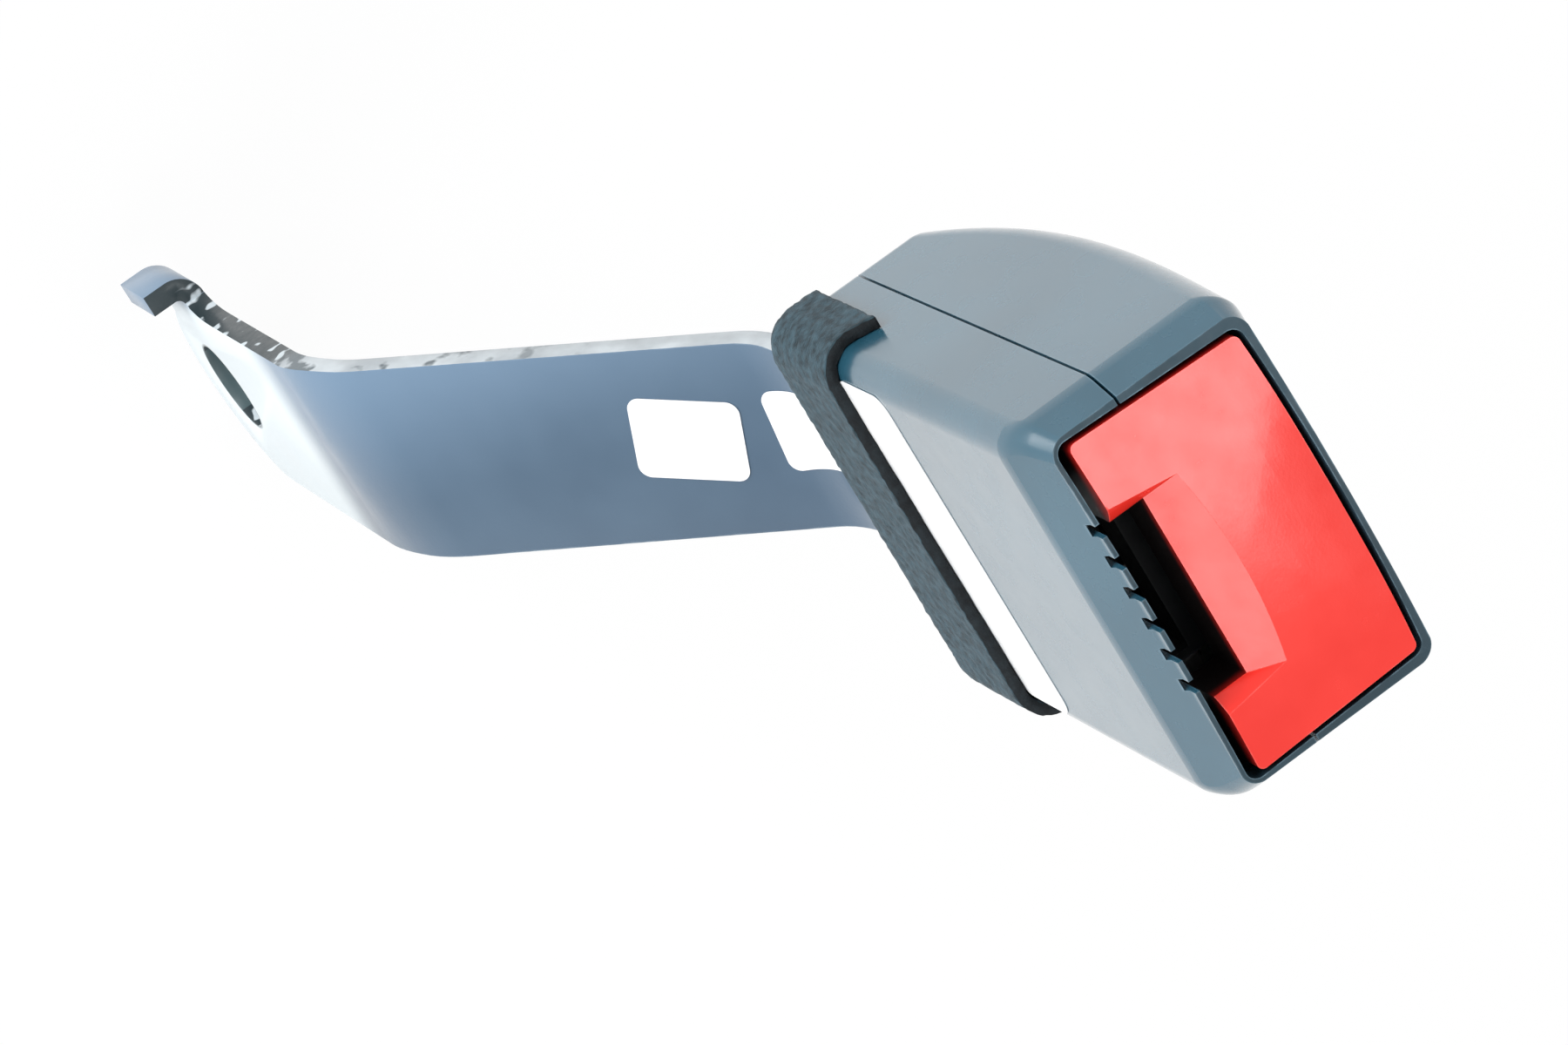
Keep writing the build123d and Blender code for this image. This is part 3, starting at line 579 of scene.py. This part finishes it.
# %% [markdown]
# ## The casing
# The two shells are moulded to one outside form: a block whose front is bevelled to the mouth,
# with soft corners and creases. A bevel on the finished shells could not run on through their
# parting line, so the round form is made once, as a sleeve of rounded rectangles along the
# head, and both shells are cut down to it. Behind the front the sleeve flares out, clear of
# the shells, and takes nothing off them.

# %% The walls of the casing, as numbers
HALF_WIDTH = 25.75
SLOT_FACE = -15.75
CLEAR = 0.03
SLEEVE_FRONT = 2.4
SLEEVE_STEP = 0.4
SLEEVE_RINGS = 34
SLEEVE_END = -82.0
FLARE_FROM = -9.4
FLARE_WIDEST = 4.0
CORNER_CUTS = 10
CREASE_EASE = 1.5
SIDE_CREASE = (-4.5, HALF_WIDTH, 0.0, -0.456)
SLOT_CREASE = (-7.5, -SLOT_FACE, 0.0, -0.380)
CROWN_CREASE = (-4.0, 14.80, -0.068, -0.275)
MOUTH_CORNER = 2.5
SLOT_CORNER = 3.4
CROWN_CORNER = 4.2
CORNER_GROWS = 7.0


def eased_crease(z, crease):
    """Distance out to a wall that turns inwards at a crease, with the turn made soft."""
    at, out, behind, front = crease
    step = min(z, 0.0) - at
    if step < -CREASE_EASE:
        return out + behind * step
    if step > CREASE_EASE:
        return out + front * step
    turn = (front - behind) * (step + CREASE_EASE) ** 2 / (4 * CREASE_EASE)
    return out + behind * step + turn


def sleeve_ring(z):
    """The rounded rectangle round the casing at z, as places in metres."""
    grown = CLEAR + min(max(FLARE_FROM - z, 0.0), FLARE_WIDEST)
    side = eased_crease(z, SIDE_CREASE) + grown
    low = eased_crease(z, SLOT_CREASE) + grown
    high = eased_crease(z, CROWN_CREASE) + grown
    share = min(max(-z / CORNER_GROWS, 0.0), 1.0)
    ring = []
    for quarter, (x_sign, y_sign) in enumerate(((1, 1), (-1, 1), (-1, -1), (1, -1))):
        full = CROWN_CORNER if y_sign > 0 else SLOT_CORNER
        radius = MOUTH_CORNER + (full - MOUTH_CORNER) * share
        x0 = x_sign * (side - radius)
        y0 = y_sign * ((high if y_sign > 0 else low) - radius)
        for i in range(CORNER_CUTS + 1):
            turn = math.radians(90 * (quarter + i / CORNER_CUTS))
            place = Vector((x0 + radius * math.cos(turn), y0 + radius * math.sin(turn), z))
            ring.append(HEAD + place * MM)
    return ring + ring[:1]


# %% [markdown]
# The sleeve starts as a flat grid. Each row of it is wrapped round the head as one ring, the
# seam is merged, and the two open ends are closed, so that it is a solid that a Boolean can use.

# %% The sleeve
ring_cuts = 4 * (CORNER_CUTS + 1)
only(floor)
bpy.ops.mesh.primitive_grid_add(x_subdivisions=ring_cuts, y_subdivisions=SLEEVE_RINGS, size=1)
sleeve = bpy.context.object
sleeve.name = "casing_sleeve"
for vertex in sleeve.data.vertices:
    row = round((vertex.co.y + 0.5) * SLEEVE_RINGS)
    z = SLEEVE_FRONT - row * SLEEVE_STEP if row < SLEEVE_RINGS else SLEEVE_END
    vertex.co = sleeve_ring(z)[round((vertex.co.x + 0.5) * ring_cuts)]
edit_all(sleeve)
bpy.ops.mesh.remove_doubles(threshold=MERGE * MM)
bpy.ops.mesh.select_all(action="DESELECT")
bpy.ops.mesh.select_mode(type="EDGE")
bpy.ops.mesh.select_non_manifold()
bpy.ops.mesh.edge_face_add()
bpy.ops.mesh.select_mode(type="VERT")
bpy.ops.mesh.select_all(action="SELECT")
bpy.ops.mesh.normals_make_consistent(inside=False)
bpy.ops.object.mode_set(mode="OBJECT")
print("sleeve:", len(sleeve.data.vertices), "vertices,", len(sleeve.data.polygons), "faces")

# %% [markdown]
# The rim round the button and the walls behind it get the darker, rougher finish of the rim,
# which is painted shade in and round the mouth.

# %% Both shells, cut to the round form
SHELL_EDGE = 0.22
MOUTH_HALF = 23.2
MOUTH_LOW = -12.4
MOUTH_HIGH = 13.1
RIM_REACH = -9.0
RIM_TILT = 0.7
for node, name in (("slot_side_shell", "slot_side_moulding"),
                   ("button_side_shell", "button_side_moulding")):
    shell = merged_copy(node, name)
    apply_modifier(shell, "BOOLEAN", operation="INTERSECT", object=sleeve, solver="EXACT")
    soften(shell, SHELL_EDGE)
    wear_it(shell, node, "housing", casing_plastic)
    shell.data.materials.append(rim_painted_shade)
    for face in shell.data.polygons:
        place = (face.center - HEAD) / MM
        inside = abs(place.x) < MOUTH_HALF and MOUTH_LOW < place.y < MOUTH_HIGH
        if place.z > RIM_REACH and (face.normal.z > RIM_TILT or inside):
            face.material_index = 1
bpy.data.objects.remove(sleeve)

# %% [markdown]
# ## The button
# The button's face is bowed both ways. Its copy is cut into a fine grid by bisecting the face
# again and again, and each vertex is then set on one smooth bow, so that the light runs over
# it without a ridge. A subdivision surface would round the face too, but the tongue notch and
# the sloped facet with it.

# %% The bowed face of the button
FACE_TILT = 0.95
FACE_TOP = 2.05
FACE_CUT = 1.5
FACE_REACH = (24.0, 15.0)
BOW_ACROSS = 149.1
BOW_TALL = 113.7
BOW_BLEND = 3.0


def pick_bowed_face(piece):
    """Select only the faces of the button's bowed top, and return their vertices."""
    bpy.ops.object.mode_set(mode="OBJECT")
    corners = set()
    for face in piece.data.polygons:
        face.select = face.normal.z > FACE_TILT and face.center.z > HEAD.z - MM
        if face.select:
            corners.update(face.vertices)
    bpy.ops.object.mode_set(mode="EDIT")
    return corners


button = merged_copy("release_button", "button_cap")
only(button)
bpy.ops.object.mode_set(mode="EDIT")
bpy.ops.mesh.select_mode(type="FACE")
bpy.ops.mesh.select_all(action="SELECT")
bpy.ops.mesh.dissolve_limited(angle_limit=math.radians(FLAT_ANGLE))
for across, reach in zip((Vector((1, 0, 0)), Vector((0, 1, 0))), FACE_REACH):
    for i in range(int(2 * reach / FACE_CUT)):
        pick_bowed_face(button)
        cut = HEAD + across * (i * FACE_CUT - reach) * MM
        bpy.ops.mesh.bisect(plane_co=cut, plane_no=across)
bowed = pick_bowed_face(button)
bpy.ops.mesh.select_mode(type="VERT")
bpy.ops.object.mode_set(mode="OBJECT")
for index in bowed:
    vertex = button.data.vertices[index]
    place = (vertex.co - HEAD) / MM
    fall = ((place.x ** 2 / (2 * BOW_ACROSS)) ** BOW_BLEND
            + (place.y ** 2 / (2 * BOW_TALL)) ** BOW_BLEND)
    vertex.co.z = HEAD.z + (FACE_TOP - fall ** (1 / BOW_BLEND)) * MM
print("bowed face:", len(bowed), "vertices")

# %% [markdown]
# With its bow made, the button gets soft edges too. A low limit for what counts as sharp is
# needed here, because the sloped facet beside the tongue notch meets the face at a small angle.

# %% The button's edges and walls
BUTTON_EDGE = 0.30
WALL_TILT = 0.35
UNDER_FACE = -1.5
soften(button, BUTTON_EDGE, sharp=20.0, crease=18.0)
wear_it(button, "release_button", "button", red_plastic)
# The button's walls and all faces below its face get the darker red, which is painted shade.
button.data.materials.append(red_walls_painted_shade)
for face in button.data.polygons:
    if abs(face.normal.z) < WALL_TILT or face.center.z < HEAD.z + UNDER_FACE * MM:
        face.material_index = 1

# %% [markdown]
# ## The strap
# The strap is blanked from 3 mm steel and then bent, so its edges are sheared: a rougher surface
# than its rolled sides, given a paler finish that is partly the sheared steel and partly a
# painted highlight. They were tumbled smooth before it was coated. On the bent lug the sheared
# edge faces up, and elsewhere it faces sideways.

# %% Strap
STRAP_EDGE = 0.40
EDGE_TILT = 0.80
LUG_ROOT = -14.5
LUG_TOP = 5.6
strap = merged_copy("anchor_strap", "steel_strap")
soften(strap, STRAP_EDGE, sharp=35.0, crease=35.0, flat_walls=False)
wear_it(strap, "anchor_strap", "housing", coated_steel)
strap.data.materials.append(sheared_edge_and_highlight)
for face in strap.data.polygons:
    place = face.center / MM
    on_lug = place.x < LUG_ROOT and place.z < LUG_TOP
    if (face.normal.z if on_lug else abs(face.normal.x)) > EDGE_TILT:
        face.material_index = 1

# %% [markdown]
# ## The coil springs
# A compression spring gets shorter as the button or the ejector is pushed down on it. Here
# each coil is a copy of its node with its wire shaded smooth, and it keeps the length it has at
# rest; the coils lie in the dark of the casing.

# %% Coil springs
BUTTON_TRAVEL = 5.5
EJECTOR_TRAVEL = 12.0
WIRE_SMOOTH = 50.0
for node, joint, travel in (("button_spring_left", "button_press", BUTTON_TRAVEL),
                            ("button_spring_right", "button_press", BUTTON_TRAVEL),
                            ("ejector_spring", "ejector_slide", EJECTOR_TRAVEL)):
    low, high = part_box(node)
    coil = merged_copy(node, node.replace("spring", "coil"))
    bpy.ops.object.shade_smooth_by_angle(angle=math.radians(WIRE_SMOOTH))
    wear_it(coil, node, "housing", spring_steel)
    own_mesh(coil)

# %% [markdown]
# ## The felt strip
# A strip of felt is glued round the rear edge of the slot-side shell, where the buckle would
# rub on the seat. It starts as a flat grid, as the real one starts as a flat cut, and each
# vertex is then laid over the shell: along the strip it goes down one side, across the slot
# face and up the other side, and across the strip it goes from the cut edge over the rear edge
# of the casing. Thickness, wobble and fuzz follow. A cloth simulation could lay it as well, but
# glued felt has no folds of its own and follows its shell.

# %% The path of the felt over the shell
FELT_TOP = -8.7
REAR = -76.0
REAR_ROUND = 3.0
TURN_IN = 2.3
FELT_FRONT = -56.0
FELT_TIP = -54.4
FELT_THICK = 1.45
FELT_ROWS = 150
FELT_STEPS = 34
wall_run = (SLOT_FACE + SLOT_CORNER - FELT_TOP) * -1
face_run = 2 * (HALF_WIDTH - SLOT_CORNER)
corner_run = SLOT_CORNER * math.pi / 2
FELT_GIRTH = 2 * wall_run + 2 * corner_run + face_run


def girth_point(s):
    """Place and outward direction on the casing's section, s millimetres along the strip."""
    x0 = -HALF_WIDTH
    if s < wall_run:
        return Vector((x0, FELT_TOP - s)), Vector((-1, 0))
    s -= wall_run
    if s < corner_run:
        turn = s / SLOT_CORNER
        out = Vector((-math.cos(turn), -math.sin(turn)))
        return Vector((x0 + SLOT_CORNER, SLOT_FACE + SLOT_CORNER)) + SLOT_CORNER * out, out
    s -= corner_run
    if s < face_run:
        return Vector((x0 + SLOT_CORNER + s, SLOT_FACE)), Vector((0, -1))
    s -= face_run
    if s < corner_run:
        turn = s / SLOT_CORNER
        out = Vector((math.sin(turn), -math.cos(turn)))
        return Vector((-x0 - SLOT_CORNER, SLOT_FACE + SLOT_CORNER)) + SLOT_CORNER * out, out
    s -= corner_run
    return Vector((-x0, SLOT_FACE + SLOT_CORNER + s)), Vector((1, 0))


# %% [markdown]
# A hand-cut and hand-glued strip is never quite true. Its front cut wanders a little and runs out
# in a longer tip, and it stands off the shell by the glue, with a slight lift at the far end.

# %% How the felt lies on the shell
CUT_WANDER = 0.25
CUT_WAVES = 0.11
CUT_SEED = (7.3, 1.9)
GLUE = 0.14
FAR_LIFT = 0.25
RIPPLE = 0.12
RIPPLE_WAVES = (0.16, 0.5)
RIPPLE_SEED = 3.1
REAR_PROUD = 0.35


def felt_front(s):
    """Where the front cut of the felt lies: square to the head, with a slightly longer tip."""
    reach = max(0.0, 1 - s / wall_run)
    wander = CUT_WANDER * noise.noise(Vector((s * CUT_WAVES, *CUT_SEED)))
    return FELT_FRONT + (FELT_TIP - FELT_FRONT) * reach + wander


def stand_off(s, t):
    """How far the felt stands off the shell: the glue, and a little lift at the far end."""
    far = s / FELT_GIRTH
    lift = GLUE + FAR_LIFT * far
    place = Vector((s * RIPPLE_WAVES[0], t * RIPPLE_WAVES[1], RIPPLE_SEED))
    return lift + RIPPLE * noise.noise(place) * far


def felt_place(s, t):
    """A point of the felt's inner side; t runs from 0 at the front cut to 1 inside the rear."""
    flat = felt_front(s) - (REAR + REAR_ROUND)
    arc = REAR_ROUND * math.pi / 2
    at = t * (flat + arc + TURN_IN)
    base, out = girth_point(s)
    proud = stand_off(s, t)
    if at < flat:
        place = base + out * proud
        z = felt_front(s) - at
    elif at < flat + arc:
        turn = (at - flat) / REAR_ROUND
        place = base + out * (proud * math.cos(turn) - REAR_ROUND * (1 - math.cos(turn)))
        z = REAR + REAR_ROUND - (REAR_ROUND + proud * REAR_PROUD) * math.sin(turn)
    else:
        place = base - out * (REAR_ROUND + at - flat - arc)
        z = REAR - proud * REAR_PROUD
    return HEAD + Vector((place.x, place.y, z)) * MM


# %% [markdown]
# With every place known, the grid is laid, gets its thickness, and each vertex is moved a little
# by two sizes of noise, which is the fluff of the wool. This kind of noise starts anywhere unless
# it is given a seed, and the strip should be the same each time.

# %% Lay the felt
FLUFF = 0.15
FLUFF_WAVES = (900, 2100)
FLUFF_FINE = 0.6
FLUFF_SEED = 5
only(floor)
bpy.ops.mesh.primitive_grid_add(x_subdivisions=FELT_ROWS, y_subdivisions=FELT_STEPS, size=1)
felt = bpy.context.object
felt.name = "felt_strip"
for vertex in felt.data.vertices:
    run = (vertex.co.x + 0.5) * FELT_GIRTH
    vertex.co = felt_place(run, 0.5 - vertex.co.y)
apply_modifier(felt, "SOLIDIFY", thickness=-FELT_THICK * MM, offset=-1.0)
noise.seed_set(FLUFF_SEED)
for vertex in felt.data.vertices:
    coarse, fine = (noise.noise_vector(vertex.co * waves) for waves in FLUFF_WAVES)
    vertex.co += FLUFF * MM * (coarse + FLUFF_FINE * fine)
edit_all(felt)
bpy.ops.mesh.normals_make_consistent(inside=False)
bpy.ops.object.mode_set(mode="OBJECT")
bpy.ops.object.shade_smooth()
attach(felt, "housing")
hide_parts("felt_wrap")

# %% [markdown]
# Felt is pressed wool, grey-blue on its rubbed face. Its front cut edge is made nearly black,
# which is painted shade. The colour follows a fine cloud of fibres, and a sheen lifts the outline
# as loose hair does.

# %% Felt finish
CUT_TILT = 0.6
CUT_DEPTH = 1.0
felt_wool = finish("felt_wool", (0.009, 0.022, 0.030), (0.036, 0.076, 0.100), (0.85, 0.98),
                   patch=1.3, grain=0.30, depth=0.20, sheen=0.12)
felt_cut_painted_shade = finish("felt_cut_painted_shade", (0.003, 0.005, 0.007), (0.010, 0.016, 0.020), (0.90, 1.0),
                  patch=1.3, grain=0.30, depth=0.20)
felt.data.materials.append(felt_wool)
felt.data.materials.append(felt_cut_painted_shade)
# The faces of the front cut get the near-black finish: painted shade.
for face in felt.data.polygons:
    if face.normal.z > CUT_TILT and face.center.z > HEAD.z + (FELT_FRONT - CUT_DEPTH) * MM:
        face.material_index = 1
print("felt faces:", len(felt.data.polygons))

# %% [markdown]
# ## Labels
# Two small blank stickers are on the web of the strap and one blank strip is on the slot side
# of the casing. A label is a thin sheet with rounded corners that follows what it is stuck to:
# it is cut flat, projected on to the steel by a shrinkwrap, and then given its thickness. White
# in the material could stand in for it, but only a real sheet has an edge that catches light.

# %% How a label is made
LABEL_THICK = 0.10
CORNER_STEPS = 8
label_paper = finish("label_paper", (0.93, 0.94, 0.95), (0.97, 0.975, 0.98), (0.34, 0.46),
                     patch=9, grain=0.4, depth=0.01)


def label(name, centre, across, upward, size, radius, turn=0.0):
    """A flat sheet with rounded corners at centre, spread along two directions; sizes in mm."""
    only(floor)
    bpy.ops.mesh.primitive_plane_add(size=1)
    piece = bpy.context.object
    piece.name = name
    out = across.cross(upward)
    frame_turn = Matrix((across, upward, out)).transposed().to_4x4()
    spin = Matrix.Rotation(math.radians(turn), 4, "Z")
    piece.data.transform(Matrix.Diagonal((size[0] * MM, size[1] * MM, 1, 1)))
    edit_all(piece)
    bpy.ops.mesh.bevel(offset=radius * MM, segments=CORNER_STEPS, affect="VERTICES")
    bpy.ops.object.mode_set(mode="OBJECT")
    piece.data.transform(Matrix.Translation(centre) @ frame_turn @ spin)
    return piece


def cut_fine(piece, direction, step, low, high):
    """Cut the sheet into strips across a direction, so that it can bend."""
    only(piece)
    bpy.ops.object.mode_set(mode="EDIT")
    count = int((high - low) / step)
    for i in range(1, count):
        bpy.ops.mesh.select_all(action="SELECT")
        bpy.ops.mesh.bisect(plane_co=direction * (low + i * step), plane_no=direction)
    bpy.ops.object.mode_set(mode="OBJECT")


def stick(piece):
    """Give the sheet its thickness and its paper, and let it ride on the housing."""
    apply_modifier(piece, "SOLIDIFY", thickness=LABEL_THICK * MM, offset=1.0)
    piece.data.materials.append(label_paper)
    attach(piece, "housing")


# %% [markdown]
# The two stickers start on a plane well above the web and are then pressed down on to the steel,
# as a hand would do it. They are cut into narrow strips first, so that they can follow the bend.

# %% The stickers on the strap
CRANK_FOOT = Vector((0.0, 0.0, 52.0)) * MM
WEB_ACROSS = Vector((1, 0, 0))
WEB_ALONG = Vector((0, 1, 1)).normalized()
WEB_OUT = Vector((0, -1, 1)).normalized()
STICKER_LIFT = 9.0
STICKER_STRIP = 0.8
STICKER_REACH = 10
STICKER_GLUE = 0.06
STICKERS = {
    "strap_sticker_low": ((13.1, 45.7), (11.5, 14.9), 1.7, -22.0),
    "strap_sticker_high": ((16.9, 63.6), (11.8, 13.0), 1.7, -8.0),
}
for name, (place, size, radius, turn) in STICKERS.items():
    centre = CRANK_FOOT + WEB_ACROSS * place[0] * MM + WEB_ALONG * place[1] * MM
    centre = centre + WEB_OUT * STICKER_LIFT * MM
    piece = label(name, centre, WEB_ACROSS, WEB_ALONG, size, radius, turn)
    middle = centre.dot(WEB_ALONG)
    reach = STICKER_REACH * MM
    cut_fine(piece, WEB_ALONG, STICKER_STRIP * MM, middle - reach, middle + reach)
    apply_modifier(piece, "SHRINKWRAP", target=strap, wrap_method="PROJECT",
                   use_negative_direction=True, use_positive_direction=False,
                   cull_face="BACK", offset=STICKER_GLUE * MM)
    stick(piece)
    print(name, "made with", len(piece.data.vertices), "vertices")

# %% [markdown]
# The strip on the casing lies on a flat wall, so it needs no shrinkwrap. It is set a hair off
# the wall, and its thickness goes outwards.

# %% The strip on the casing
STRIP_SIZE = (14.4, 46.0)
STRIP_CORNER = 2.6
STRIP_MIDDLE = -50.2
STRIP_GLUE = 0.03
strip = label("casing_label", HEAD + Vector((0, SLOT_FACE - STRIP_GLUE, STRIP_MIDDLE)) * MM,
              Vector((0, 0, -1)), Vector((1, 0, 0)), STRIP_SIZE, STRIP_CORNER)
stick(strip)
print("casing label in mm:", STRIP_SIZE)

# %% [markdown]
# ## The foam blocks
# Two small blocks of foam hold the steel frame quiet in the casing. A block cut from foam is
# never quite flat: its faces are uneven and its edges soft. It starts as a cube at its size, gets
# soft edges and a fine grid, and each vertex is then moved in or out a little by a noise. Foam
# as stiff as this hardly swells, so it needs no simulation.

# %% Foam blocks
FOAM_EDGE = 0.9
FOAM_SEGMENTS = 3
FOAM_CUTS = 4
FOAM_DENT = 0.12
FOAM_WAVES = 900
FOAM_SHRINK = 0.985
foam = finish("foam", (0.045, 0.048, 0.050), (0.075, 0.078, 0.080), (0.88, 0.98),
              patch=1.6, grain=0.45, depth=0.35)
for node in ("frame_pad_left", "frame_pad_right"):
    low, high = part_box(node)
    only(floor)
    bpy.ops.mesh.primitive_cube_add(size=1)
    block = bpy.context.object
    block.name = node.replace("frame_pad", "foam_block")
    middle = (low + high) / 2
    block.data.transform(Matrix.Translation(middle) @ Matrix.Diagonal((*(high - low), 1)))
    edit_all(block)
    bpy.ops.mesh.bevel(offset=FOAM_EDGE * MM, segments=FOAM_SEGMENTS, affect="EDGES")
    bpy.ops.mesh.select_all(action="SELECT")
    bpy.ops.mesh.subdivide(number_cuts=FOAM_CUTS)
    bpy.ops.object.mode_set(mode="OBJECT")
    for vertex in block.data.vertices:
        away = vertex.co - middle
        dent = FOAM_DENT * noise.noise(away * FOAM_WAVES) * MM
        vertex.co = middle + away * FOAM_SHRINK + away.normalized() * dent
    bpy.ops.object.shade_smooth()
    block.data.materials.append(foam)
    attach(block, "housing")
    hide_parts(node)
    print(block.name, "faces:", len(block.data.polygons))
